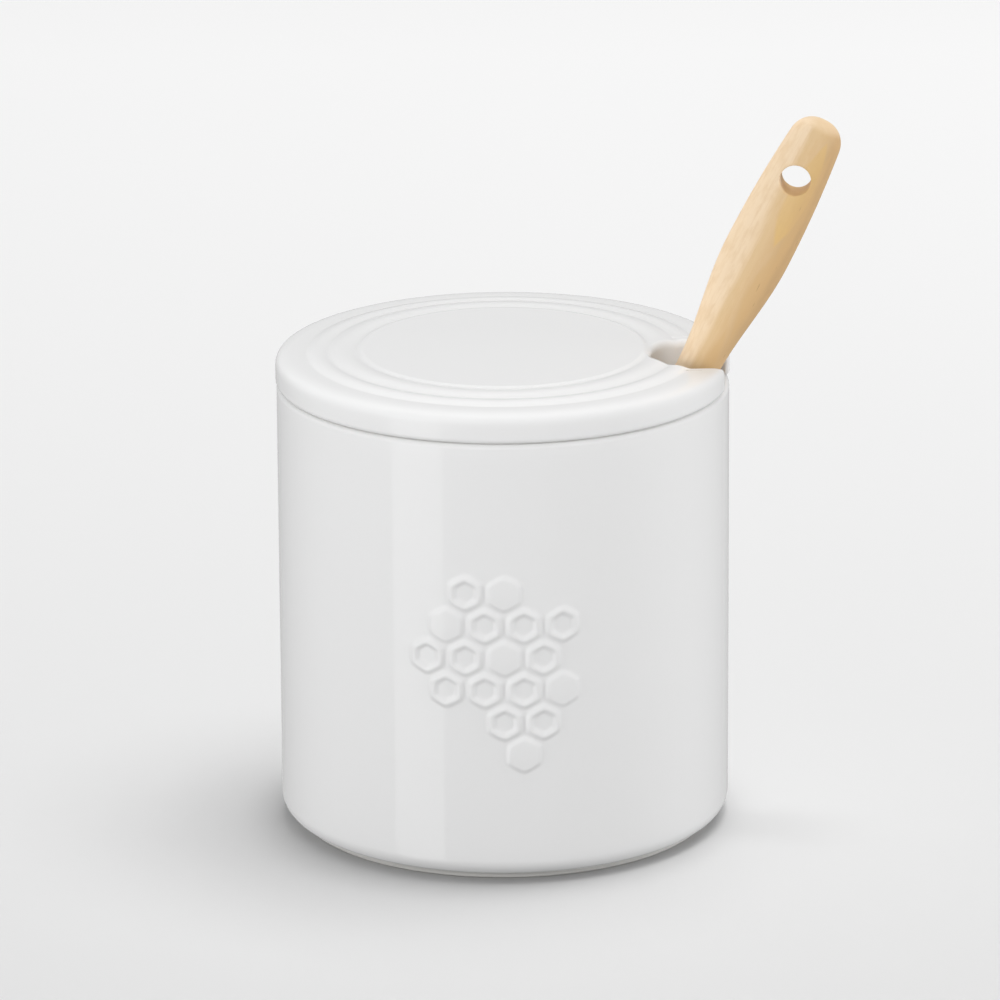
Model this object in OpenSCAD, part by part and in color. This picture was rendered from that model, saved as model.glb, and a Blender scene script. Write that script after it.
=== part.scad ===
// Stoneware honey pot with a loose lid and a dipper that leans out through a notch in the lid.
// The pot stands on z = 0 with its axis on the z axis. Its front, with the relief, faces -y.

/* [Pot] */
// Outside diameter of the pot's wall
pot_d = 100; // [80:1:130]
// Height of the rim above the table
pot_h = 100.4; // [85:0.1:130]
// Thickness of the wall
wall_t = 3.8; // [3:0.1:6]
// Thickness of the floor
floor_t = 6; // [4:0.1:8]
// Radius that rounds both edges of the rim
rim_round = 1.3; // [0.5:0.1:1.4]
// Radius of the rounded edge between wall and base
base_round = 4; // [4:0.1:9]
// Radius between the wall and the floor inside
inner_round = 10; // [4:0.5:16]

/* [Foot ring] */
// Height of the ring that the pot stands on
foot_h = 1.5; // [1:0.1:5]
// How far the ring stands in from the wall's outside
foot_inset = 4; // [2:0.1:5]
// Width of the ring
foot_w = 5; // [3:0.1:8]
// Radius that rounds the ring's two bottom edges
foot_edge = 0.6; // [0.2:0.1:1]

/* [Lid] */
// How far the lid stands out past the pot's wall
lid_overhang = 0.2; // [0:0.1:1]
// Height of the lid's flat top above the rim
lid_h = 7.6; // [7.2:0.1:12]
// Width of the rounded shoulder at the edge
shoulder_w = 6.7; // [4:0.1:8]
// Height of the rounded shoulder
shoulder_h = 3.8; // [2:0.1:4]
// How square the shoulder is: 2 is a quarter of an ellipse, and more is squarer
shoulder_curve = 4; // [2:0.1:5]
// Width of the outer ring
outer_ring_w = 4.9; // [3:0.1:7]
// Width of the inner ring, next to the flat disc
inner_ring_w = 6.4; // [3:0.1:7]
// How far each ring bulges above its two grooves
ring_crown = 0.4; // [0.2:0.05:0.8]
// Width over which the disc's edge rounds down into its groove
disc_edge_w = 0.8; // [0.4:0.1:2]
// How far the groove round the disc lies below the disc
disc_groove_drop = 0.3; // [0.1:0.05:0.5]
// How far the groove between the rings lies below the disc
middle_groove_drop = 0.55; // [0.3:0.05:0.8]
// How far the groove round the outer ring lies below the disc
outer_groove_drop = 1; // [0.7:0.05:1.3]
// Radius that rounds the lid's bottom edge
lid_edge_round = 1.2; // [0.5:0.1:2.4]
// How far the underside lies above the seat, inside the locating ring
lid_recess = 0.6; // [0.2:0.1:2]

/* [Locating ring under the lid] */
// Depth of the ring that keeps the lid on the mouth
locator_h = 4; // [2:0.1:7]
// Width of the ring
locator_w = 5; // [3:0.1:8]
// Gap between the ring and the pot's mouth
locator_gap = 0.8; // [0.3:0.1:2]
// Radius that rounds the ring's bottom edges
locator_edge = 1; // [0.3:0.1:1.4]

/* [Notch in the lid] */
// Gap between the dipper's neck and each side of the notch
notch_side_gap = 4.4; // [2:0.1:8]
// Gap between the dipper's neck and the notch's inner end
notch_end_gap = 3.7; // [2:0.1:8]
// Radius of the notch's two outer corners, seen from above
notch_corner = 3.5; // [1:0.1:5]

/* [Dipper] */
// Overall length
dipper_l = 169; // [150:1:220]
// Lean from upright, in degrees
dipper_lean = 26.1; // [20:0.1:28]
// Direction of the lean seen from above, in degrees from +x
dipper_turn = -6; // [-30:1:30]
// Gap between the leaning neck and the rim, and between the head and the floor
dipper_gap = 0.3; // [0.2:0.1:0.6]

/* [Dipper handle] */
// Width at the neck
neck_w = 9.2; // [8:0.1:10]
// Width at the widest place
belly_w = 14.8; // [12:0.1:15.5]
// Thickness of the handle
handle_t = 8.2; // [7:0.1:9]
// Distance from the end to the widest place
belly_from_end = 33; // [28:0.5:40]
// Distance from the end to where the neck starts
neck_from_end = 64; // [56:0.5:80]
// How much narrower than the belly the handle is at its end
end_taper = 4.2; // [2:0.1:6]
// Length of the rounded end
end_round = 5; // [3:0.1:7]
// Diameter of the hanging hole
hole_d = 6.8; // [4:0.1:8]
// Distance from the end to the middle of the hole
hole_from_end = 14; // [10:0.5:20]
// Diameter of the tenon that enters the core
tenon_d = 6; // [4:0.1:7]
// Length of the tenon
tenon_l = 14; // [8:0.5:20]

/* [Dipper core] */
// Diameter of the core inside the head
core_d = 12; // [9:0.1:14]
// Length of the core inside the head
core_l = 30; // [22:0.5:34]
// Diameter of the collar on the head
collar_d = 15; // [13:0.1:17]
// Height of the collar
collar_h = 2; // [1:0.1:4]
// Gap left for glue round the tenon and round the core
glue_gap = 0.05; // [0.02:0.01:0.1]

/* [Dipper head] */
// Diameter over the widest ridge
head_d = 29; // [28:0.5:32]
// Length of the head
head_l = 42; // [38:0.5:50]
// Number of ridges, with the round tip as the first
ridge_count = 7; // [5:1:8]
// Thickness of a ridge
ridge_t = 3.6; // [2.5:0.1:4]
// Diameter at the bottom of the grooves
groove_d = 18; // [16:0.5:18.5]
// Radius of the round tip
tip_r = 11; // [10:0.5:12]
// How far past each end of the head its barrel shape would close
barrel_over = 8; // [7:0.5:20]

/* [Honeycomb relief] */
// Width of a cell across its flats
cell_w = 7.6; // [5:0.1:9]
// Gap between neighbouring cells
cell_gap = 0.9; // [0.5:0.1:2]
// Width of the wall of an open cell
cell_wall = 1.3; // [0.8:0.1:2]
// Height of the relief above the wall
relief_h = 0.6; // [0.3:0.1:1]
// How deep each cell is rooted in the wall
relief_root = 0.8; // [0.4:0.1:1.5]
// Height of the middle of the relief above the table
relief_z = 52; // [40:1:60]

/* [Hidden] */
$fn = 96;

CLAY = [0.93, 0.93, 0.92];
WOOD = [0.87, 0.75, 0.56];
CORE = [0.62, 0.64, 0.66];
SILICONE = [0.88, 0.88, 0.86];

arc_steps = 8;
cut_over = 1;

pot_r = pot_d / 2;
mouth_r = pot_r - wall_t;
foot_r = pot_r - foot_inset;
foot_in_r = foot_r - foot_w;
floor_z = foot_h + floor_t;

lid_r = pot_r + lid_overhang;
lid_top = pot_h + lid_h;
lid_under = pot_h + lid_recess;
outer_groove_r = lid_r - shoulder_w;
middle_groove_r = outer_groove_r - outer_ring_w;
disc_groove_r = middle_groove_r - inner_ring_w;
outer_groove_z = lid_top - outer_groove_drop;
middle_groove_z = lid_top - middle_groove_drop;
disc_groove_z = lid_top - disc_groove_drop;
shoulder_z = outer_groove_z - shoulder_h;
locator_r = mouth_r - locator_gap;
locator_in_r = locator_r - locator_w;

// Where the dipper's axis passes the height of the rim, so that its neck just clears the rim's inner rounding
neck_to_rim = dipper_gap + rim_round + neck_w / 2;
reach = mouth_r + rim_round - neck_to_rim / cos(dipper_lean) + rim_round * tan(dipper_lean);
// Distance down the axis from there to the tip, so that the round tip just clears the floor
tip_drop = (pot_h - floor_z - dipper_gap - tip_r) / cos(dipper_lean) + tip_r;
handle_start = head_l + collar_h;

// The notch clears the neck on both sides, and at its inner end where the neck passes the lid's underside
notch_w = handle_t + 2 * notch_side_gap;
notch_inner_r = reach + lid_recess * tan(dipper_lean) - neck_w / 2 / cos(dipper_lean) - notch_end_gap;
notch_end = notch_inner_r + notch_w / 2;

// The relief's cells: place across and row up, both from the middle, and 1 for a capped cell or 0 for an open one
CELLS = [
    [-1, 2, 0], [0, 2, 1],
    [-1.5, 1, 1], [-0.5, 1, 0], [0.5, 1, 0], [1.5, 1, 0],
    [-2, 0, 0], [-1, 0, 0], [0, 0, 1], [1, 0, 0],
    [-1.5, -1, 0], [-0.5, -1, 0], [0.5, -1, 0], [1.5, -1, 1],
    [0, -2, 0], [1, -2, 0],
    [0.5, -3, 1]
];
cell_pitch = cell_w + cell_gap;
row_pitch = cell_pitch * cos(30);

// Points along an arc about (cx, cy), from angle a0 to a1
function arc(cx, cy, r, a0, a1) =
    [for (i = [0:arc_steps]) let (a = a0 + (a1 - a0) * i / arc_steps) [cx + r * cos(a), cy + r * sin(a)]];

// Points across one raised ring of the lid, from the groove outside it to the groove inside it
function ring_points(r0, z0, r1, z1) =
    [for (i = [0:arc_steps]) let (x = i / arc_steps)
        [r0 + (r1 - r0) * x, z0 + (z1 - z0) * x + ring_crown * sin(180 * x)]];

// Points of a quarter of an oval about (cx, cy), from its widest point up to its top. A higher curve is squarer.
function quarter(cx, cy, half_w, half_h, curve = 2) =
    [for (i = [0:arc_steps]) let (a = 90 * i / arc_steps)
        [cx + half_w * pow(cos(a), 2 / curve), cy + half_h * pow(sin(a), 2 / curve)]];

// Half the handle's width at a distance from its end, without the rounded end
function swell(e) =
    e < belly_from_end ? belly_w / 2 - end_taper / 2 * pow(1 - e / belly_from_end, 2)
    : e < neck_from_end ? neck_w / 2
        + (belly_w - neck_w) / 4 * (1 + cos(180 * (e - belly_from_end) / (neck_from_end - belly_from_end)))
    : neck_w / 2;

// How far the rounded end has opened at a distance from the end, from 0 to 1. A higher curve is squarer.
end_curve = 2.4;
function opened(e) = e < end_round ? pow(1 - pow(1 - e / end_round, end_curve), 1 / end_curve) : 1;

// Radius of the head's barrel shape at a distance from the tip
function barrel_r(t) = head_d / 2 * sqrt(1 - pow((t - head_l / 2) / (head_l / 2 + barrel_over), 2));

// Puts its children on the dipper's leaning axis, with z = 0 at the tip
module on_dipper_axis() {
    rotate([0, 0, dipper_turn])
        translate([reach, 0, pot_h])
            rotate([0, dipper_lean, 0])
                translate([0, 0, -tip_drop])
                    children();
}

module pot_body() {
    base_angle = acos((foot_r - pot_r + base_round) / base_round);
    rotate_extrude()
        polygon(concat(
            [[0, foot_h], [foot_in_r, foot_h]],
            arc(foot_in_r + foot_edge, foot_edge, foot_edge, 180, 270),
            arc(foot_r - foot_edge, foot_edge, foot_edge, 270, 360),
            arc(pot_r - base_round, foot_h + base_round, base_round, -base_angle, 0),
            arc(pot_r - rim_round, pot_h - rim_round, rim_round, 0, 90),
            arc(mouth_r + rim_round, pot_h - rim_round, rim_round, 90, 180),
            arc(mouth_r - inner_round, floor_z + inner_round, inner_round, 0, -90),
            [[0, floor_z]]
        ));
}

// A six-sided bar of a given width across its flats, from its root in the front wall outwards
module cell_bar(across) {
    translate([0, relief_root - pot_r, 0])
        rotate([90, 0, 0])
            rotate([0, 0, 90])
                cylinder(d = across / cos(30), h = relief_root + relief_h + cut_over, $fn = 6);
}

module comb_cell(capped) {
    intersection() {
        difference() {
            cell_bar(cell_w);
            if (!capped)
                cell_bar(cell_w - 2 * cell_wall);
        }
        translate([0, 0, -cell_w])
            cylinder(r = pot_r + relief_h, h = 2 * cell_w);
    }
}

module relief() {
    for (cell = CELLS)
        rotate([0, 0, cell[0] * cell_pitch / pot_r * 180 / PI])
            translate([0, 0, relief_z + cell[1] * row_pitch])
                comb_cell(cell[2] == 1);
}

module pot() {
    color(CLAY)
        union() {
            pot_body();
            relief();
        }
}

module lid_disc() {
    rotate_extrude()
        polygon(concat(
            [[0, lid_under], [locator_in_r, lid_under]],
            arc(locator_in_r + locator_edge, pot_h - locator_h + locator_edge, locator_edge, 180, 270),
            arc(locator_r - locator_edge, pot_h - locator_h + locator_edge, locator_edge, 270, 360),
            [[locator_r, pot_h]],
            arc(lid_r - lid_edge_round, pot_h + lid_edge_round, lid_edge_round, 270, 360),
            quarter(outer_groove_r, shoulder_z, shoulder_w, shoulder_h, shoulder_curve),
            ring_points(outer_groove_r, outer_groove_z, middle_groove_r, middle_groove_z),
            ring_points(middle_groove_r, middle_groove_z, disc_groove_r, disc_groove_z),
            quarter(disc_groove_r - disc_edge_w, disc_groove_z, disc_edge_w, disc_groove_drop),
            [[0, lid_top]]
        ));
}

// The notch seen from above, open outwards, with its outer corners rounded off
module notch_plan() {
    corner_y = notch_w / 2 + notch_corner;
    corner_x = sqrt(pow(lid_r - notch_corner, 2) - pow(corner_y, 2));
    outside = lid_r + notch_corner;
    corner_angle = atan2(corner_y, corner_x);
    translate([notch_end, 0])
        circle(d = notch_w);
    translate([notch_end, -notch_w / 2])
        square([outside - notch_end, notch_w]);
    for (side = [-1, 1])
        scale([1, side])
            difference() {
                polygon([
                    [corner_x, 0],
                    [outside, 0],
                    [outside * cos(corner_angle), outside * sin(corner_angle)],
                    [corner_x, corner_y]
                ]);
                translate([corner_x, corner_y])
                    circle(r = notch_corner);
            }
}

module lid() {
    color(CLAY)
        difference() {
            lid_disc();
            rotate([0, 0, dipper_turn])
                translate([0, 0, pot_h - locator_h - cut_over])
                    linear_extrude(locator_h + lid_h + 2 * cut_over)
                        notch_plan();
        }
}

// The handle's skin: oval rings from its shoulder on the collar up to the rounded end, where a small flat is left
module handle_skin() {
    sides = 32;
    wood_l = dipper_l - handle_start;
    long_rings = 22;
    cap_rings = 7;
    cap_stop = 86;
    from_end = concat(
        [for (i = [0:long_rings]) wood_l + (end_round - wood_l) * i / long_rings],
        [for (i = [1:cap_rings]) end_round * (1 - sin(cap_stop * i / cap_rings))]
    );
    rings = len(from_end);
    points = [
        for (e = from_end)
            for (s = [0:sides - 1])
                let (a = 360 * s / sides)
                [swell(e) * opened(e) * cos(a), handle_t / 2 * opened(e) * sin(a), dipper_l - e]
    ];
    walls = [
        for (k = [0:rings - 2])
            for (s = [0:sides - 1])
                let (n = (s + 1) % sides)
                [k * sides + s, (k + 1) * sides + s, (k + 1) * sides + n, k * sides + n]
    ];
    bottom = [for (s = [0:sides - 1]) s];
    top = [for (s = [sides - 1:-1:0]) (rings - 1) * sides + s];
    polyhedron(points, concat([bottom], walls, [top]), convexity = 4);
}

module dipper_handle() {
    color(WOOD)
        on_dipper_axis()
            difference() {
                union() {
                    handle_skin();
                    translate([0, 0, handle_start - tenon_l])
                        cylinder(d = tenon_d, h = tenon_l + cut_over);
                }
                translate([0, handle_t, dipper_l - hole_from_end])
                    rotate([90, 0, 0])
                        cylinder(d = hole_d, h = 2 * handle_t);
            }
}

module dipper_core() {
    color(CORE)
        on_dipper_axis()
            difference() {
                union() {
                    translate([0, 0, head_l - core_l])
                        cylinder(d = core_d, h = core_l);
                    translate([0, 0, head_l])
                        cylinder(d = collar_d, h = collar_h);
                }
                translate([0, 0, handle_start - tenon_l])
                    cylinder(d = tenon_d + 2 * glue_gap, h = tenon_l + cut_over);
            }
}

module dipper_head() {
    pitch = head_l / ridge_count;
    half = ridge_t / 2;
    groove_r = groove_d / 2;
    tip_end = pitch - (pitch - ridge_t) / 2;
    tip_angle = acos((tip_r - tip_end) / tip_r);
    color(SILICONE)
        on_dipper_axis()
            difference() {
                rotate_extrude()
                    polygon(concat(
                        arc(0, tip_r, tip_r, -90, tip_angle - 90),
                        [for (k = [1:ridge_count - 1])
                            let (t = pitch * (k + 0.5))
                            each concat(
                                [[groove_r, t - half]],
                                arc(barrel_r(t) - half, t, half, -90, 90),
                                [[groove_r, t + half]]
                            )],
                        [[groove_r, head_l], [0, head_l]]
                    ));
                translate([0, 0, head_l - core_l])
                    cylinder(d = core_d + 2 * glue_gap, h = core_l + cut_over);
            }
}

pot();
lid();
dipper_handle();
dipper_core();
dipper_head();
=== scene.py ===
import math

import bmesh
import bpy
from mathutils import Matrix, Quaternion, Vector


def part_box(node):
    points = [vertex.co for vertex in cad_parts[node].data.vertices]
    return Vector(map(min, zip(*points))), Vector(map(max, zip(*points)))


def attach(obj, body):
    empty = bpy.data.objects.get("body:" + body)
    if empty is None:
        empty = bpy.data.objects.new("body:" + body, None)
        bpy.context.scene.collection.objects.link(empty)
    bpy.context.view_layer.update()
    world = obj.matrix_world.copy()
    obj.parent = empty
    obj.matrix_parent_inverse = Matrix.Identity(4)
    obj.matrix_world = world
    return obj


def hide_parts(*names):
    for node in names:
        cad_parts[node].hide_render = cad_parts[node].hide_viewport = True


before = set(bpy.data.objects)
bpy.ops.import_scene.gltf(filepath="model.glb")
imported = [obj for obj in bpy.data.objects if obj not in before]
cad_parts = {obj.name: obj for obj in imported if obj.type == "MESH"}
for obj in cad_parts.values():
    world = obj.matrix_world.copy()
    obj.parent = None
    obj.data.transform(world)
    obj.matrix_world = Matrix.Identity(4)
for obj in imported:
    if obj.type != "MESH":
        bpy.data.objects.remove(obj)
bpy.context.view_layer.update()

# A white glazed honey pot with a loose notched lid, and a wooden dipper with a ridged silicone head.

MM = 0.001
# Points closer than this are one point
MERGE = 0.000002

# Pot, in millimetres
pot_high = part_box("pot")[1]
POT_R = pot_high.x / MM
POT_H = pot_high.z / MM
WALL = 3.8
FOOT_H = 1.5
FLOOR_Z = FOOT_H + 6
FOOT_R = POT_R - 4
FOOT_IN_R = FOOT_R - 5
FOOT_EDGE = 0.6
BASE_ROUND = 4
RIM_ROUND = 1.3
INNER_ROUND = 10
MOUTH_R = POT_R - WALL

# Lid, in millimetres
lid_low, lid_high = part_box("lid")
LID_R = -lid_low.x / MM
LID_TOP = lid_high.z / MM
LID_UNDER = POT_H + 0.6
SHOULDER_W = 6.7
SHOULDER_H = 3.8
# Power of the shoulder's curve: 2 is an ellipse, and more is squarer
SHOULDER_CURVE = 4
OUTER_GROOVE_R = LID_R - SHOULDER_W
MIDDLE_GROOVE_R = OUTER_GROOVE_R - 4.9
DISC_GROOVE_R = MIDDLE_GROOVE_R - 6.4
OUTER_GROOVE_Z = LID_TOP - 1
MIDDLE_GROOVE_Z = LID_TOP - 0.55
DISC_GROOVE_Z = LID_TOP - 0.3
RING_CROWN = 0.4
DISC_EDGE = 1.2
# How softly the glaze fills the grooves, as a share of a ring's crown
GROOVE_FILL = 0.18
LID_EDGE = 1.2
LOCATOR_H = (POT_H * MM - lid_low.z) / MM
LOCATOR_R = MOUTH_R - 0.8
LOCATOR_IN_R = LOCATOR_R - 5
LOCATOR_EDGE = 1
LOCATOR_FILLET = 0.7
LOCATOR_END_ROUND = 0.6
# How far the ring's ends stay clear of the notch's sides
LOCATOR_END_GAP = 1.2

# Dipper, in millimetres and degrees
DIPPER_L = 169
LEAN = math.radians(26.1)
TURN = math.radians(-6)
DIPPER_GAP = 0.3
NECK_W = 9.2
BELLY_W = 14.8
HANDLE_T = 8.2
BELLY_FROM_END = 33
NECK_FROM_END = 64
END_TAPER = 4.2
END_ROUND = 5
END_CURVE = 2.31
END_EDGE = 2
HOLE_R = 3.4
HOLE_EDGE = 0.35
HOLE_FROM_END = 14
TENON_R = 3
TENON_L = 14
TENON_EDGE = 0.5
HEAD_R = 14.5
HEAD_L = 42
HANDLE_START = HEAD_L + 2
RIDGES = 7
RIDGE_T = 3.6
GROOVE_FILLET = 0.6
GROOVE_R = 9
TIP_R = 11
BARREL_OVER = 8
CORE_R = 6.05
CORE_L = 30

# Where the dipper's axis passes the rim's height, and how far down the axis its tip lies from there
REACH = (MOUTH_R + RIM_ROUND - (DIPPER_GAP + RIM_ROUND + NECK_W / 2) / math.cos(LEAN)
         + RIM_ROUND * math.tan(LEAN))
TIP_DROP = (POT_H - FLOOR_Z - DIPPER_GAP - TIP_R) / math.cos(LEAN) + TIP_R
TO_DIPPER = (Matrix.Rotation(TURN, 4, "Z")
             @ Matrix.Translation((REACH * MM, 0, POT_H * MM))
             @ Matrix.Rotation(LEAN, 4, "Y")
             @ Matrix.Translation((0, 0, -TIP_DROP * MM)))

# Notch in the lid, which the dipper's neck passes: a round bite whose two outer corners are rounded off
NOTCH_R = HANDLE_T / 2 + 5.2
NOTCH_INNER = REACH + 0.6 * math.tan(LEAN) - NECK_W / 2 / math.cos(LEAN) - 3.7
NOTCH_MIDDLE = NOTCH_INNER + NOTCH_R
NOTCH_CORNER = 0.8
NOTCH_TOP_ROUND = 1.6
NOTCH_LOW_ROUND = 1

# Points of half the lid's outline: along the notch, round its corner and along the rim
NOTCH_STEPS = 34
CORNER_STEPS = 16
RIM_STEPS = 170
# The lid's grid is an even fan inside this radius, and follows the outline within this distance of the edge
FAN_R = NOTCH_INNER - 3.7
EDGE_BAND = 3
# Half the fan's angle that the notch's part of the outline opens out to, in degrees
NOTCH_FAN = 44
FAN_ROWS = 5
TOP_ROWS = 56
UNDER_ROWS = 30
WALL_ROWS = 5
EDGE_ROWS = 16

# Honeycomb relief: place across, row up, and 1 for a capped cell or 0 for an open one
CELLS = [
    (-1, 2, 0), (0, 2, 1),
    (-1.5, 1, 1), (-0.5, 1, 0), (0.5, 1, 0), (1.5, 1, 0),
    (-2, 0, 0), (-1, 0, 0), (0, 0, 1), (1, 0, 0),
    (-1.5, -1, 0), (-0.5, -1, 0), (0.5, -1, 0), (1.5, -1, 1),
    (0, -2, 0), (1, -2, 0),
    (0.5, -3, 1),
]
CELL_W = 7.6
CELL_PITCH = CELL_W + 0.9
ROW_PITCH = CELL_PITCH * math.cos(math.radians(30))
CELL_WALL = 1.3
RELIEF_H = 0.6
RELIEF_Z = 52
RELIEF_STEP = 0.3
# Half the width over which the glaze rounds the relief's edges
RELIEF_SOFT = 0.65
# Power of a cell's softened corners: more is sharper
CELL_SHARPNESS = 9
# How far a capped cell falls from its middle to its edge, as a share of its height
CAP_DOME = 0.1
# Rows of cells that the fine part of the wall reaches below and above the middle row
RELIEF_BELOW = 3.75
RELIEF_ABOVE = 2.75
# Sector of the wall that is spun in fine steps, in degrees from the front
SECTOR_FROM = -29
SECTOR_TO = 24
# Steps round the rest of the pot
COARSE_STEPS = 90


def arc(centre_x, centre_z, radius, start, end, steps):
    """Points of an arc from one angle to another, in degrees."""
    return [
        (centre_x + radius * math.cos(math.radians(start + (end - start) * i / steps)),
         centre_z + radius * math.sin(math.radians(start + (end - start) * i / steps)))
        for i in range(steps + 1)
    ]


def straight(start, end, steps):
    """Points along a line, without its two ends."""
    return [
        tuple(a + (b - a) * i / steps for a, b in zip(start, end))
        for i in range(1, steps)
    ]


def soft_step(value):
    """0 below 0, 1 above 1, and smooth between."""
    held = min(max(value, 0), 1)
    return held * held * (3 - 2 * held)


def mix(a, b, share):
    return a + (b - a) * share


def as_object(name, shape):
    """Turns a bmesh in metres into an object in the scene."""
    mesh = bpy.data.meshes.new(name)
    shape.to_mesh(mesh)
    shape.free()
    made = bpy.data.objects.new(name, mesh)
    bpy.context.scene.collection.objects.link(made)
    return made


def finish_piece(name, shape, material, body, slot, *nodes):
    """Makes a smooth piece that rides on a body and stands for CAD nodes."""
    piece = as_object(name, shape)
    piece.data.shade_smooth()
    piece.data.materials.append(material)
    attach(piece, body)
    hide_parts(*nodes)
    return piece


def closed(shape):
    """Merges the seam and the poles, and turns every face outwards."""
    bmesh.ops.remove_doubles(shape, verts=shape.verts, dist=MERGE)
    bmesh.ops.recalc_face_normals(shape, faces=shape.faces)
    return shape


def spun(profile, turns, start=0.0):
    """Spins (radius, height) points about z, through each (degrees, steps) of turns in order."""
    shape = bmesh.new()
    corners = [shape.verts.new((radius * MM, 0, height * MM)) for radius, height in profile]
    edges = [shape.edges.new(pair) for pair in zip(corners, corners[1:])]
    bmesh.ops.rotate(shape, verts=corners, matrix=Matrix.Rotation(math.radians(start), 3, "Z"))
    line = corners + edges
    for degrees, steps in turns:
        made = bmesh.ops.spin(shape, geom=line, cent=(0, 0, 0), axis=(0, 0, 1),
                              angle=math.radians(degrees), steps=steps, use_merge=False)
        line = made["geom_last"]
    return closed(shape)


def wrapped(rows, columns, place):
    """A grid wrapped round a form. place gives the point, in millimetres, of each row and column."""
    shape = bmesh.new()
    bmesh.ops.create_grid(shape, x_segments=rows, y_segments=columns, size=0.5)
    for corner in shape.verts:
        row = round((corner.co.x + 0.5) * rows)
        column = round((corner.co.y + 0.5) * columns)
        corner.co = Vector(place(row, column % columns)) * MM
    return closed(shape)


# Pot

def cell_reach(across, up):
    """How far a point is from a cell's middle, measured to the six flats, with softened corners."""
    flats = (
        abs(across),
        abs(across * 0.5 + up * math.sqrt(0.75)),
        abs(across * 0.5 - up * math.sqrt(0.75)),
    )
    return sum(flat ** CELL_SHARPNESS for flat in flats) ** (1 / CELL_SHARPNESS)


def relief_at(across, height):
    """Height of the honeycomb above the wall, at a distance round the wall and a height."""
    top = 0
    for place, row, capped in CELLS:
        dx = across - place * CELL_PITCH
        dz = height - RELIEF_Z - row * ROW_PITCH
        if max(abs(dx), abs(dz)) > CELL_W:
            continue
        reach = cell_reach(dx, dz)
        soft = 2 * RELIEF_SOFT
        outside = soft_step((CELL_W / 2 - reach) / soft + 0.35)
        inside = soft_step((reach - CELL_W / 2 + CELL_WALL) / soft + 0.65)
        if capped:
            inside = 1 - CAP_DOME * soft_step(reach / CELL_W * 2)
        top = max(top, RELIEF_H * outside * inside)
    return top


def build_pot(material):
    base_angle = math.degrees(math.acos((FOOT_R - POT_R + BASE_ROUND) / BASE_ROUND))
    relief_low = RELIEF_Z - RELIEF_BELOW * ROW_PITCH
    relief_top = RELIEF_Z + RELIEF_ABOVE * ROW_PITCH
    relief_rows = round((relief_top - relief_low) / RELIEF_STEP)
    wall_low = FOOT_H + BASE_ROUND
    wall_top = POT_H - RIM_ROUND
    profile = (
        [(0, FOOT_H)]
        + straight((0, FOOT_H), (FOOT_IN_R, FOOT_H), 4)
        + [(FOOT_IN_R, FOOT_H)]
        + arc(FOOT_IN_R + FOOT_EDGE, FOOT_EDGE, FOOT_EDGE, 180, 270, 6)
        + arc(FOOT_R - FOOT_EDGE, FOOT_EDGE, FOOT_EDGE, 270, 360, 6)
        + arc(POT_R - BASE_ROUND, FOOT_H + BASE_ROUND, BASE_ROUND, -base_angle, 0, 16)
        + straight((POT_R, wall_low), (POT_R, relief_low), 6)
        + [(POT_R, relief_low)]
        + straight((POT_R, relief_low), (POT_R, relief_top), relief_rows)
        + [(POT_R, relief_top)]
        + straight((POT_R, relief_top), (POT_R, wall_top), 8)
        + arc(POT_R - RIM_ROUND, wall_top, RIM_ROUND, 0, 90, 8)
        + arc(MOUTH_R + RIM_ROUND, wall_top, RIM_ROUND, 90, 180, 8)
        + straight((MOUTH_R, wall_top), (MOUTH_R, FLOOR_Z + INNER_ROUND), 10)
        + arc(MOUTH_R - INNER_ROUND, FLOOR_Z + INNER_ROUND, INNER_ROUND, 0, -90, 12)
        + straight((MOUTH_R - INNER_ROUND, FLOOR_Z), (0, FLOOR_Z), 6)
        + [(0, FLOOR_Z)]
    )
    sector = SECTOR_TO - SECTOR_FROM
    fine_steps = round(math.radians(sector) * POT_R / RELIEF_STEP)
    pot = spun(profile, [(sector, fine_steps), (360 - sector, COARSE_STEPS)], -90 + SECTOR_FROM)
    for corner in pot.verts:
        outside = abs(corner.co.xy.length / MM - POT_R) < 0.001
        height = corner.co.z / MM
        if outside and relief_low < height < relief_top:
            across = math.atan2(corner.co.x, -corner.co.y) * POT_R
            corner.co.xy *= 1 + relief_at(across, height) / POT_R
    return finish_piece("pot_glazed", pot, material, "pot", "pot_glaze", "pot")


# Lid

def ring_height(share, start, end):
    """Height across one raised ring, from the groove at its outside to the groove at its inside."""
    swell_up = math.sqrt(math.sin(math.pi * share) ** 2 + GROOVE_FILL ** 2) - GROOVE_FILL
    crown = RING_CROWN / (math.sqrt(1 + GROOVE_FILL ** 2) - GROOVE_FILL)
    return mix(start, end, share) + crown * swell_up


def lid_top_at(radius):
    """Height of the lid's top at a distance from its middle."""
    disc_r = DISC_GROOVE_R - DISC_EDGE
    if radius < disc_r:
        return LID_TOP
    if radius < DISC_GROOVE_R:
        share = (radius - disc_r) / DISC_EDGE
        return mix(LID_TOP, DISC_GROOVE_Z, soft_step(share))
    if radius < MIDDLE_GROOVE_R:
        share = (MIDDLE_GROOVE_R - radius) / (MIDDLE_GROOVE_R - DISC_GROOVE_R)
        return ring_height(share, MIDDLE_GROOVE_Z, DISC_GROOVE_Z)
    if radius < OUTER_GROOVE_R:
        share = (OUTER_GROOVE_R - radius) / (OUTER_GROOVE_R - MIDDLE_GROOVE_R)
        return ring_height(share, OUTER_GROOVE_Z, MIDDLE_GROOVE_Z)
    share = min((radius - OUTER_GROOVE_R) / SHOULDER_W, 1)
    return OUTER_GROOVE_Z - SHOULDER_H + SHOULDER_H * (1 - share ** SHOULDER_CURVE) ** (1 / SHOULDER_CURVE)


def lid_under_at(radius):
    """Height of the lid's underside. The step up from the seat is hidden in the locating ring."""
    middle = (LOCATOR_R + LOCATOR_IN_R) / 2
    return mix(LID_UNDER, POT_H, soft_step((radius - middle) / 2 + 0.5))


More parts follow.
